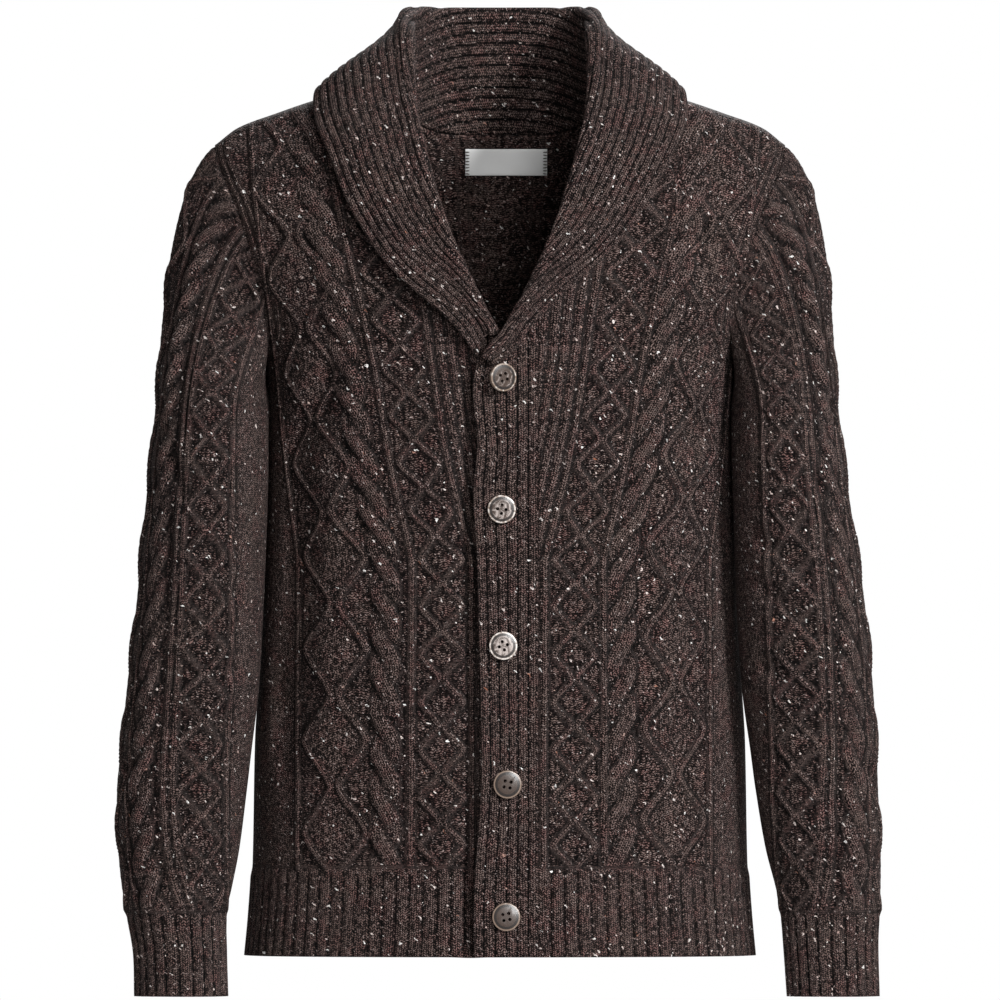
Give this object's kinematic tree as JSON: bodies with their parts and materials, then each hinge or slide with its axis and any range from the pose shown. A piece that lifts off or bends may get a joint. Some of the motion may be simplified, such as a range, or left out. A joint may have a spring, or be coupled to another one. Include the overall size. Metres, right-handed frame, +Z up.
{
  "type": "shawl collar cardigan",
  "caption": "Long-sleeved cable-knit wool cardigan with a ribbed shawl collar and a buttoned front, filled out as when worn.",
  "frame": {"origin": "the base of the wearer's neck, midway between the shoulder points, 672 mm above the hem", "axes": "+Z up, the front faces -Y, +X is the wearer's left"},
  "size_m": [0.6131, 0.2551, 0.7917],
  "materials": {
    "wool": "marled wool cable knit with a soft nap",
    "rib": "marled wool rib knit with a soft nap",
    "horn": "polished marbled horn look",
    "satin": "bare woven satin tape"
  },
  "bodies": {
    "root": {"front_right": "wool", "front_left": "wool", "back": "wool", "sleeve_right": "wool", "sleeve_left": "wool", "shawl_collar": "rib", "button_band": "rib", "buttonhole_band": "rib", "button_1": "horn", "button_2": "horn", "button_3": "horn", "button_4": "horn", "button_5": "horn", "neck_label": "satin"}
  },
  "joints": []
}
